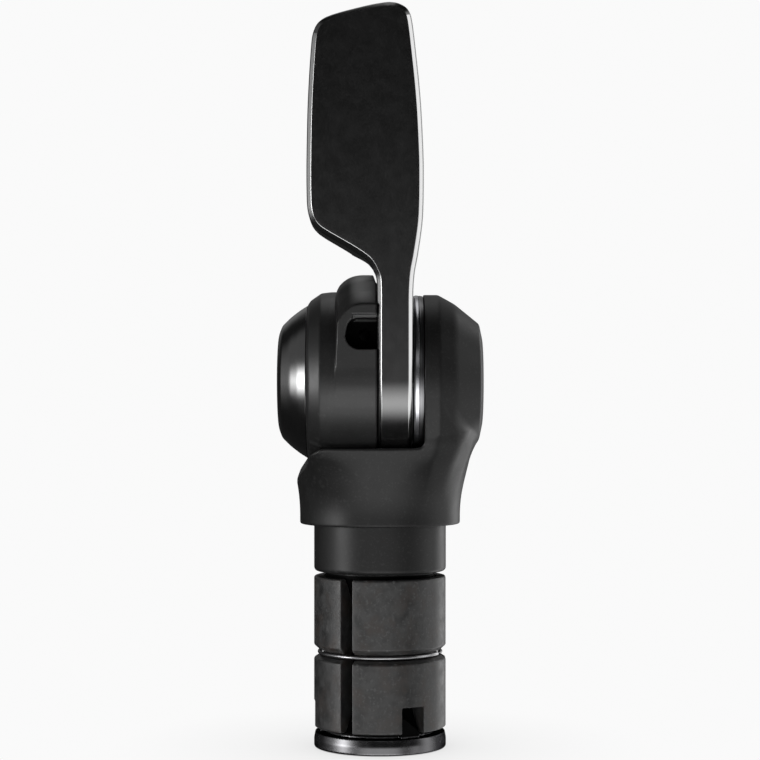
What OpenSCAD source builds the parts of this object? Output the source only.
// Bar-end thumb shifter for an aero bar.
// +Z runs up the bar axis towards the lever tip, with the origin at the centre of
// the seat that rests on the end of the bar. +X runs along the pivot towards the
// ear, and -Y is the front, which the blade faces. Left is -X.

/* [Bar plug] */
// Outside radius of the plug that goes into the bar
plug_r = 9.4; // [9.2:0.05:9.8]
// Radius of the seat that rests on the end of the bar
seat_r = 11.4; // [11.0:0.1:12.0]
// Half angle of the expander cones
cone_half = 30; // [28:1:30]
// Width of the slots between the collet segments
slot_w = 1.8; // [1.6:0.1:2.4]
// Width of the key notches in the collet segments
notch_w = 3.5; // [3.3:0.1:4.0]

/* [Pivot] */
// Height of the pivot axis over the bar seat
pivot_z = 20.25; // [20:0.05:21]
// Offset of the pivot axis from the bar axis
pivot_y = -2.5; // [-3:0.1:-2]
// Radius of the pivot axle's journal
axle_r = 4.0; // [3.9:0.05:4.1]
// Radius of the ear
ear_r = 12.3; // [12:0.1:12.6]
// Position of the ear's inner face along the pivot
ear_x = 6.05; // [6.05:0.05:6.2]
// Position of the ear's outer face along the pivot
ear_end = 14.5; // [14.2:0.1:14.8]
// Radius of the cradle under the drum
cradle_r = 13.4; // [13.4:0.1:13.8]

/* [Drum and cap] */
// Radius of the drum
drum_r = 12.7; // [12.4:0.1:12.8]
// Height of the cable boss over the pivot axis
boss_h = 15.0; // [14.5:0.1:15.5]
// Left end of the cable boss along the pivot
boss_x = -6.2; // [-6.4:0.1:-6.0]
// Height of the cable port over the pivot axis
port_z = 6.5; // [6.5:0.1:6.6]
// Radius of the cable port
port_r = 2.18; // [2.1:0.02:2.2]
// Left end of the cap's dome along the pivot
cap_end = -14.67; // [-15:0.1:-14.6]

/* [Lever] */
// Radius of the lever's hub
hub_r = 12.9; // [12.7:0.1:13.0]
// Left side of the stem along the pivot
stem_x0 = -0.41; // [-0.42:0.01:-0.38]
// Right side of the stem along the pivot
stem_x1 = 4.50; // [4.4:0.02:4.5]
// Height of the lever's tip over the pivot axis
tip_h = 51.5; // [48:0.5:54]
// Thickness of the blade at its tip
blade_t = 3.1; // [2.6:0.1:4]

/* [Hidden] */

black = [0.10, 0.10, 0.105];
dark = [0.16, 0.16, 0.165];
steel = [0.62, 0.63, 0.65];
bronze = [0.55, 0.42, 0.22];
nylon = [0.85, 0.84, 0.80];
rubber = [0.05, 0.05, 0.05];

// Heights on the bar axis
spigot_z = -6.6;              // lower end of the body's spigot
seg_top = -7.3;
seg_bot = -28.7;
ring_top = -29.4;             // top of the wedge's outer ring
plug_end = -31.6;             // lower end of the plug
body_cone_z = -7.4;
wedge_cone_z = -28.9;
groove_z = -18.12;
head_z = -0.3;                // underside of the expander bolt's head
head_top = 4.7;

// Expander cones and the collet's bore
cone_slope = tan(cone_half);
cone_r = 7.75;                // large radius of both cones
cone_len = 4.5;
cone_tip_r = cone_r - cone_len * cone_slope;
cone_gap = 0.19;              // lets a spread segment's edges clear the cone
seg_cone_r = cone_r + cone_gap;
core_r = 6.0;                 // bore of the segments between the cones
seg_cone_len = (seg_cone_r - core_r) / cone_slope;

// Axle and the parts that turn on it
bush_bore_r = axle_r + 1;     // bore of the lever and drum, and the axle's head
bush_outer_r = axle_r + 0.98;
bush_inner_r = axle_r + 0.04;
washer_bore_r = axle_r + 0.15;
axle_end_r = 3.0;
axle_end_flats = 5.0;         // width over the flats on the axle's end
axle_head_x = 6.1;
drum_left = -10.36;
drum_right = -0.55;
drum_pocket_x = -7.6;         // floor of the pocket in the drum's left side

// Screws and pins in the hub. Places are angles round the pivot.
hub_pin_r = 10.6;             // circle that the hub's screws and pins stand on
screw_places = [100, 315];
pin_places = [180, 262];
stop_place = 200;
hub_pin_size = 1.25;          // radius of the screws' shanks and the drive pins
hub_pin_hole = hub_pin_size + 0.02;
screw_head_r = 1.9;
stop_pin_r = 1.0;
stop_hole_r = stop_pin_r + 0.03;

// Assist spring, a coil round the pivot
coil_r = 7.0;
wire_r = 0.4;
coil_turns = 2;
coil_steps = 28;              // steps in each turn
coil_x = 2.1;                 // left end of the coil's centre line
coil_len = 1.9;

// ---------------------------------------------------------------- helpers
// Puts a shape that stands along +Z onto the pivot axis, pointing along +X.
module on_pivot() translate([0, pivot_y, pivot_z]) rotate([0, 90, 0]) children();

// A point round the pivot: place is 0 at the front, 90 at the top and 180 at the rear.
function round_point(radius, place) = [-radius * sin(place), -radius * cos(place)];

module around(radius, place) translate(concat(round_point(radius, place), [0])) children();
module on_hub_circle(places) for (place = places) around(hub_pin_r, place) children();

// Cylinder, tube and turned profile along local Z. Profile columns are [radius, z].
module disc(radius, start, end)
    translate([0, 0, start]) cylinder(r = radius, h = end - start, $fn = 96);
module pipe(outer, inner, start, end) difference() {
    disc(outer, start, end);
    disc(inner, start - 1, end + 1);
}
module turned(profile) rotate_extrude($fn = 96) polygon(profile);

module hexagon(flats, start, height)
    translate([0, 0, start]) cylinder(r = flats / sqrt(3), h = height, $fn = 6);
module double_flat(radius, flats, start, end) intersection() {
    disc(radius, start, end);
    translate([-flats / 2, -20, -30]) cube([flats, 40, 60]);
}
module stop_hole(start, end) on_hub_circle([stop_place]) disc(stop_hole_r, start, end);

// Slabs with an outline seen from the front, [x, z], or from the side, [y, z].
module front_slab(z = 0)
    translate([0, 30, z]) rotate([90, 0, 0]) linear_extrude(60) children();
module side_slab(y = 0, z = 0)
    rotate([90, 0, 90]) translate([y, z, -20]) linear_extrude(40) children();

// Points of a Catmull-Rom curve from the second point of points to the last but one.
function curve_point(before, from, to, after, t) = 0.5 * ((2 * from) + (to - before) * t
    + (2 * before - 5 * from + 4 * to - after) * t * t
    + (3 * from - before - 3 * to + after) * t * t * t);
function smooth_run(points, steps) = concat(
    [for (i = [1 : len(points) - 3]) for (k = [0 : steps - 1])
        curve_point(points[i - 1], points[i], points[i + 1], points[i + 2], k / steps)],
    [points[len(points) - 2]]);

// ---------------------------------------------------------------- body
module ear_solid() on_pivot() turned([
    [0, ear_x], [ear_r - 0.3, ear_x], [ear_r, ear_x + 0.3], [ear_r, 7.8],
    [ear_r - 0.4, 8.86], [8.05, ear_end - 0.62], [7.3, ear_end - 0.25],
    [4.7, ear_end - 0.06], [0, ear_end]]);

// The body's outlines between the seat and the ear: [x, z] from the front.
module neck_front() polygon([
    [-seat_r, 0], [-seat_r, 2.0], [-11.6, 3.6], [-11.9, 5.6], [-12.05, 6.7],
    [-11.85, 7.5], [-11.4, 8.4], [-10.8, 9.3], [-9.9, 10.2], [-8.8, 10.8],
    [-7.6, 11.05], [ear_x, 11.15], [ear_x, pivot_z], [12.9, pivot_z],
    [13.15, 11.1], [12.77, 9.7], [12.13, 7.1], [11.64, 4.6], [seat_r, 2.0],
    [seat_r, 0]]);

// And [y, z] from the side.
module neck_side() polygon([
    [-seat_r, -0.1], [-11.5, 2.5], [-12.35, 6.5], [-13.2, 11], [-14.2, 16],
    [-14.5, pivot_z], [9.5, pivot_z], [10.4, 14], [10.9, 11], [11.3, 6.5],
    [11.45, 2.5], [seat_r, -0.1]]);

module neck_solid() intersection() {
    hull() {
        cylinder(r = seat_r, h = 2, $fn = 32);
        translate([0.3, -1, 11]) cylinder(r = 12.9, h = 10, $fn = 32);
    }
    front_slab() neck_front();
    side_slab() neck_side();
}

// Spigot and upper expander cone, on the bar axis.
module spigot_solid() turned([
    [0, 0.5], [plug_r, 0.5], [plug_r, spigot_z + 0.3], [plug_r - 0.3, spigot_z],
    [cone_r, spigot_z], [cone_r, body_cone_z],
    [cone_tip_r, body_cone_z - cone_len], [0, body_cone_z - cone_len]]);

module body() color(black) difference() {
    union() {
        ear_solid();
        neck_solid();
        spigot_solid();
    }
    // cradle for the drum and the lever's hub
    on_pivot() disc(cradle_r, -20, ear_x);
    // axle seat, its screw and the stop pin
    on_pivot() {
        disc(axle_r + 1.02, ear_x - 1, 11);
        disc(2.7, 10, 12.5);
        disc(4.7, 11.6, 16);
        stop_hole(ear_x - 1, 8.6);
    }
    // bolt passage and the pocket for its head
    disc(4.1, -14, 6);
    disc(5.6, head_z - 0.5, head_z + 13.5);
}

// ---------------------------------------------------------------- pivot
// Head in the ear, journal, and a flatted end on the left.
module pivot_axle() color(steel) on_pivot() difference() {
    union() {
        disc(bush_bore_r, axle_head_x, 10.95);
        disc(axle_r, -7.55, axle_head_x + 0.1);
        double_flat(axle_end_r, axle_end_flats, -13.0, -7.5);
    }
    disc(2.55, 3.0, 12);
}

module axle_screw() color(dark) on_pivot() difference() {
    union() {
        disc(2.5, 3.6, 12);
        disc(4.45, 11.65, 14.1);
    }
    hexagon(flats = 4, start = 12.1, height = 4);
}

module bearing_ring() color(steel) on_pivot() difference() {
    turned([[washer_bore_r, 5.38], [11.95, 5.38], [12.2, 5.6],
        [12.2, 6.03], [washer_bore_r, 6.03]]);
    stop_hole(4, 8);
}

module thrust_washer() color(steel) on_pivot() difference() {
    turned([[washer_bore_r, 4.6], [12.05, 4.6], [12.25, 4.75],
        [12.25, 5.2], [12.1, 5.34], [washer_bore_r, 5.34]]);
    stop_hole(4, 8);
    // small hole at the front, on the coil's circle
    around(coil_r, 0) disc(0.6, 4, 8);
}

module stop_pin() color(steel) on_pivot()
    on_hub_circle([stop_place]) disc(stop_pin_r, 3.2, 8.5);

module keyed_friction_washer() color(steel) on_pivot() difference() {
    disc(8.1, -8.95, -8.35);
    double_flat(axle_end_r + 0.06, axle_end_flats + 0.1, -10, -7);
}

// Two cone washers, set face to face.
module spring_washers() color(steel) on_pivot() {
    inner = 3.2;
    outer = 7.4;
    turned([[inner, -9.75], [outer, -9.5], [outer, -9.02], [inner, -9.27]]);
    turned([[inner, -10.1], [outer, -10.35], [outer, -9.87], [inner, -9.8]]);
}

// Hexagon nut with chamfered corners.
module axle_lock_nut() color(steel) on_pivot() difference() {
    intersection() {
        hexagon(flats = 10, start = -12.75, height = 2.3);
        turned([[0, -12.75], [5.2, -12.75], [5.8, -12.4],
            [5.8, -10.8], [5.2, -10.45], [0, -10.45]]);
    }
    disc(axle_end_r + 0.05, -14, -9);
}

// ---------------------------------------------------------------- lever
// Blade outline seen from the front, as [x, z] points that it passes through when
// tip_h is table_tip_h. The first and last points only steer the curve's ends.
table_tip_h = 51.5;
blade_run = [
    [stem_x0, 30], [stem_x0, 32.6], [-0.56, 34.4], [-1.2, 35.9], [-3.85, 38.0],
    [-7.5, 40.1], [-9.3, 42.0], [-9.93, 45], [-9.98, 50], [-9.78, 58.5], [-9.36, 65.5],
    [-8.95, 67.8], [-7.6, 69.5], [-5.2, 70.4], [-1.0, 71.3], [1.2, 71.72], [2.9, 71.3],
    [3.95, 70.4], [4.3, 69.0], [4.9, 64.7], [5.55, 58], [5.94, 49], [5.75, 41.5],
    [5.0, 36.6], [4.58, 33.4], [stem_x1, 31], [stem_x1, 28]];

module blade_outline() let (stretch = tip_h / table_tip_h) polygon(concat(
    [[stem_x0, pivot_z + 2]],
    [for (point = smooth_run(blade_run, 4))
        [point[0], pivot_z + (point[1] - pivot_z) * stretch]],
    [[stem_x1, pivot_z + 2]]));

// Side view of the stem and blade, [y, z] from the pivot. The front face is flat.
module blade_side() polygon([
    [-hub_r, 0], [-hub_r, tip_h + 1], [-hub_r + blade_t, tip_h + 1],
    [-hub_r + blade_t + 0.1, 40], [-hub_r + blade_t + 0.5, 30], [-hub_r + 4.7, 22],
    [-hub_r + 6.9, 17], [-2.6, 14.2], [1.5, 12.75], [0, 0]]);

// A curved slot on a circle round the pivot, with round ends at two places.
module track(radius, half_width, first, last) {
    span = last - first;
    polygon(concat(
        [for (k = [0 : 24]) round_point(radius + half_width, first + span * k / 24)],
        [for (k = [1 : 7])
            round_point(radius, last) + round_point(half_width, last + 180 * k / 8)],
        [for (k = [0 : 24]) round_point(radius - half_width, last - span * k / 24)],
        [for (k = [1 : 7])
            round_point(radius, first) - round_point(half_width, first + 180 * k / 8)]));
}

module lever() color(black) difference() {
    union() {
        on_pivot() disc(hub_r, stem_x0, stem_x1);
        intersection() {
            front_slab() blade_outline();
            side_slab(pivot_y, pivot_z) blade_side();
        }
        // the stem between the hub and the blade
        intersection() {
            translate([stem_x0, -40, pivot_z]) cube([stem_x1 - stem_x0, 60, 9]);
            side_slab(pivot_y, pivot_z) blade_side();
        }
    }
    on_pivot() {
        disc(bush_bore_r, stem_x0 - 1, stem_x1 + 1);
        // pocket for the assist spring
        pipe(coil_r + 1.1, coil_r - 1.1, 1.6, stem_x1 + 1);
        // screws and drive pins
        on_hub_circle(screw_places) {
            disc(hub_pin_size + 0.1, stem_x0 - 1, stem_x1 + 1);
            disc(screw_head_r + 0.05, 3.0, stem_x1 + 1);
        }
        on_hub_circle(pin_places) disc(hub_pin_hole, stem_x0 - 1, 2.1);
        // track for the stop pin
        translate([0, 0, 3.0]) linear_extrude(3)
            track(hub_pin_r, stop_pin_r + 0.1, 149, 246);
    }
}

// ---------------------------------------------------------------- drum
// Side view of the cable boss, [y, z] from the pivot: a flat face with a rounded top.
module boss_side() {
    corner = 4.6;
    polygon(concat([[0, 0], [-drum_r, 0], [-drum_r, boss_h - corner]],
        [for (k = [1 : 6])
            [-drum_r + corner * (1 - cos(15 * k)), boss_h - corner + corner * sin(15 * k)]],
        [[-1.5, boss_h - 0.1], [2.2, boss_h - 1.2], [5.4, boss_h - 3.6], [8.0, 9.6]]));
}

// Front view of the cable boss, [x, z] from the pivot, rounded at the upper left.
module boss_front() {
    corner = 2.2;
    corner_rise = 2.25;
    polygon(concat([[drum_right, 0], [drum_right, boss_h + 1]],
        [[boss_x + corner, boss_h + 1]],
        [for (k = [0 : 6]) [boss_x + corner - corner * sin(15 * k),
            boss_h - corner + corner_rise * cos(15 * k)]],
        [[boss_x, 0]]));
}

module drum() color(black) difference() {
    union() {
        on_pivot() turned([[0, drum_left], [11.05, drum_left],
            [11.35, -10.25], [11.95, -9.85], [12.4, -9.3], [12.63, -8.8], [drum_r, -8.3],
            [drum_r, drum_right - 0.2], [drum_r - 0.2, drum_right], [0, drum_right]]);
        intersection() {
            side_slab(pivot_y, pivot_z) boss_side();
            front_slab(pivot_z) boss_front();
        }
    }
    on_pivot() {
        disc(bush_bore_r, -12, 1);
        disc(9.9, -12, drum_pocket_x);
        on_hub_circle(screw_places) disc(hub_pin_hole, -5.2, 1);
        on_hub_circle(pin_places) disc(hub_pin_hole, -1.75, 1);
        // groove that the shift wire wraps into
        intersection() {
            pipe(20, 5.9, -3.4, -2.0);
            translate([0, 0, -4]) linear_extrude(3) polygon(concat([[0, 0]],
                [for (k = [0 : 10]) round_point(30, 135 + 14.5 * k)]));
        }
    }
    // port for the wire's head, open to the lever's side, and the wire's bore
    port_x = -2.5;
    port_y = pivot_y - 6.2;
    port_height = pivot_z + port_z;
    translate([port_x, port_y, port_height]) rotate([90, 0, 0]) disc(port_r, 0, 20);
    translate([port_x, port_y - 20, port_height - port_r]) cube([10, 20, 2 * port_r]);
    translate([-2.1, pivot_y - 6.5, port_height]) rotate([-95.7, 0, 4.75])
        disc(0.8, 0, 17);
    // relief beside the root of the blade
    translate([drum_right - 0.5, -40, pivot_z + 12.95]) cube([5, 60, 10]);
}

// Domed shell, with a groove for the seal round its rim.
seal_groove = [-9.95, -9.15];
module end_cap() color(black) on_pivot() turned([
    [0, cap_end], [3.0, cap_end + 0.05], [5.2, cap_end + 0.16], [6.5, cap_end + 0.28],
    [7.2, cap_end + 0.4], [7.65, cap_end + 0.57], [8.05, cap_end + 0.83], [9.3, -12.5],
    [10.2, -11.4], [10.7, -10.75], [10.8, -10.45], [9.85, -10.45], [9.85, seal_groove[0]],
    [9.2, seal_groove[0]], [9.2, seal_groove[1]], [9.85, seal_groove[1]], [9.85, -8.7],
    [8.7, -8.7], [8.7, -10.6], [6.9, -12.9], [6.3, -13.3], [0, -13.4]]);

module cap_seal() color(rubber) on_pivot() rotate_extrude($fn = 96)
    translate([9.54, (seal_groove[0] + seal_groove[1]) / 2]) circle(r = 0.32, $fn = 32);

module lever_bush() color(bronze) on_pivot()
    pipe(bush_outer_r, bush_inner_r, stem_x0 + 0.06, stem_x1 - 0.05);
module drum_bush() color(bronze) on_pivot()
    pipe(bush_outer_r, bush_inner_r, drum_pocket_x + 0.1, drum_right - 0.1);
module friction_pad() color(rubber) on_pivot() pipe(8.3, 5.2, -8.3, drum_pocket_x - 0.02);

module lever_screws() color(steel) on_pivot() on_hub_circle(screw_places) difference() {
    union() {
        disc(hub_pin_size, -5.0, 4.2);
        disc(screw_head_r, 3.1, 4.4);
    }
    hexagon(flats = 2, start = 3.6, height = 2);
}

module drive_pins() color(steel) on_pivot()
    on_hub_circle(pin_places) disc(hub_pin_size, -1.7, 2.05);

// Torsion spring, as one swept coil with eight points round the wire.
coil_count = coil_steps * coil_turns;
function coil_centre(i, angle) =
    [coil_r * cos(angle), coil_r * sin(angle), coil_x + coil_len * i / coil_count];
module assist_spring() color(steel) on_pivot() polyhedron(
    points = [for (i = [0 : coil_count]) let (angle = 360 * i / coil_steps)
        for (k = [0 : 7]) coil_centre(i, angle)
            + wire_r * (cos(45 * k) * [cos(angle), sin(angle), 0] + sin(45 * k) * [0, 0, 1])],
    faces = concat([[for (k = [0 : 7]) k]],
        [[for (k = [7 : -1 : 0]) 8 * coil_count + k]],
        [for (i = [0 : coil_count - 1]) for (k = [0 : 7])
            [8 * i + k, 8 * (i + 1) + k, 8 * (i + 1) + (k + 1) % 8]],
        [for (i = [0 : coil_count - 1]) for (k = [0 : 7])
            [8 * i + k, 8 * (i + 1) + (k + 1) % 8, 8 * i + (k + 1) % 8]]));

// ---------------------------------------------------------------- expander
bolt_bore_r = 2.15;
shank_r = 3.9;
bolt_end = -31.3;
clip_groove_r = 3.3;
front_angle = -60;            // middles of the collet segments, from +X
rear_angle = 60;
left_angle = 180;

// Hollow bolt with a groove for the clip near its lower end.
module expander_bolt() color(steel) difference() {
    turned([[bolt_bore_r, bolt_end], [3.6, bolt_end], [3.6, -31.25],
        [clip_groove_r, -31.25], [clip_groove_r, -30.85], [shank_r, -30.85],
        [shank_r, head_z], [5.05, head_z], [5.3, head_z + 0.25], [5.3, head_top - 0.3],
        [5.0, head_top], [bolt_bore_r, head_top]]);
    hexagon(flats = 6, start = 1.7, height = 5);
}

module bolt_washer() color(steel) pipe(5.4, shank_r + 0.12, head_z - 0.47, head_z - 0.03);

// Spring clip that keeps the wedge on the bolt.
module bolt_clip() color(steel) difference() {
    disc(5.0, -31.22, -30.88);
    disc(clip_groove_r + 0.03, -32, -29);
    translate([0, -1.4, -32]) cube([10, 2.8, 3]);
}

// Disc over the bolt's head, with a blind bore below and a slanted hole through it.
module cable_guide() color(nylon) difference() {
    disc(5.5, head_top + 0.1, 6.75);
    disc(2.12, 4, 5.9);
    translate([0, 0, 4]) rotate([-14, -10, 0]) disc(0.9, 0, 8);
}

// Outer ring, lower cone and a key for each segment's notch.
module expander_wedge() color(dark) difference() {
    key_w = 2.9;
    union() {
        turned([[0, plug_end], [plug_r - 0.3, plug_end],
            [plug_r, plug_end + 0.3], [plug_r, ring_top - 0.1], [plug_r - 0.1, ring_top],
            [cone_r, ring_top], [cone_r, wedge_cone_z],
            [cone_tip_r, wedge_cone_z + cone_len], [0, wedge_cone_z + cone_len]]);
        for (angle = [front_angle, rear_angle, left_angle]) rotate(angle)
            translate([5.2, -key_w / 2, ring_top - 0.5]) cube([3.3, key_w, 3.3]);
    }
    disc(shank_r + 0.05, -40, -10);
    disc(6.4, plug_end - 1, plug_end + 0.8);
}

// The whole collet, before it is split.
module collet_tube() turned([
    [seg_cone_r - (body_cone_z - seg_top) * cone_slope, seg_top], [plug_r - 0.25, seg_top],
    [plug_r, seg_top - 0.25], [plug_r, -17.15], [8.65, -17.7], [7.95, -17.74],
    [7.95, -18.5], [8.7, -18.54], [plug_r, -18.9], [plug_r, seg_bot + 0.2],
    [plug_r - 0.2, seg_bot], [seg_cone_r - (seg_bot - wedge_cone_z) * cone_slope, seg_bot],
    [core_r, wedge_cone_z + seg_cone_len],
    [core_r, body_cone_z - seg_cone_len]]);

// A third of the collet, with half a slot off each side and a notch at the bottom.
module segment(angle) color(dark) difference() {
    intersection() {
        collet_tube();
        rotate(angle) translate([0, 0, -40]) linear_extrude(60)
            polygon([[0, 0], [20, -34.64], [40, 0], [20, 34.64]]);
    }
    for (side = [-60, 60]) rotate(angle + side)
        translate([0, -slot_w / 2, -40]) cube([20, slot_w, 60]);
    rotate(angle) translate([4, -notch_w / 2, -35]) cube([20, notch_w, 10]);
}

module collet_segment_front() segment(front_angle);
module collet_segment_rear() segment(rear_angle);
module collet_segment_left() segment(left_angle);

// Open wire ring that holds the segments together.
module retaining_ring() color(steel) translate([0, 0, groove_z]) rotate([0, 0, -11])
    rotate_extrude(angle = 350, $fn = 96) translate([8.62, 0]) circle(r = 0.28, $fn = 24);

body();
pivot_axle();
axle_screw();
bearing_ring();
thrust_washer();
stop_pin();
keyed_friction_washer();
spring_washers();
axle_lock_nut();
cable_guide();
bolt_washer();
lever();
drum();
end_cap();
cap_seal();
lever_bush();
drum_bush();
friction_pad();
lever_screws();
drive_pins();
assist_spring();
expander_bolt();
bolt_clip();
expander_wedge();
collet_segment_front();
collet_segment_rear();
collet_segment_left();
retaining_ring();
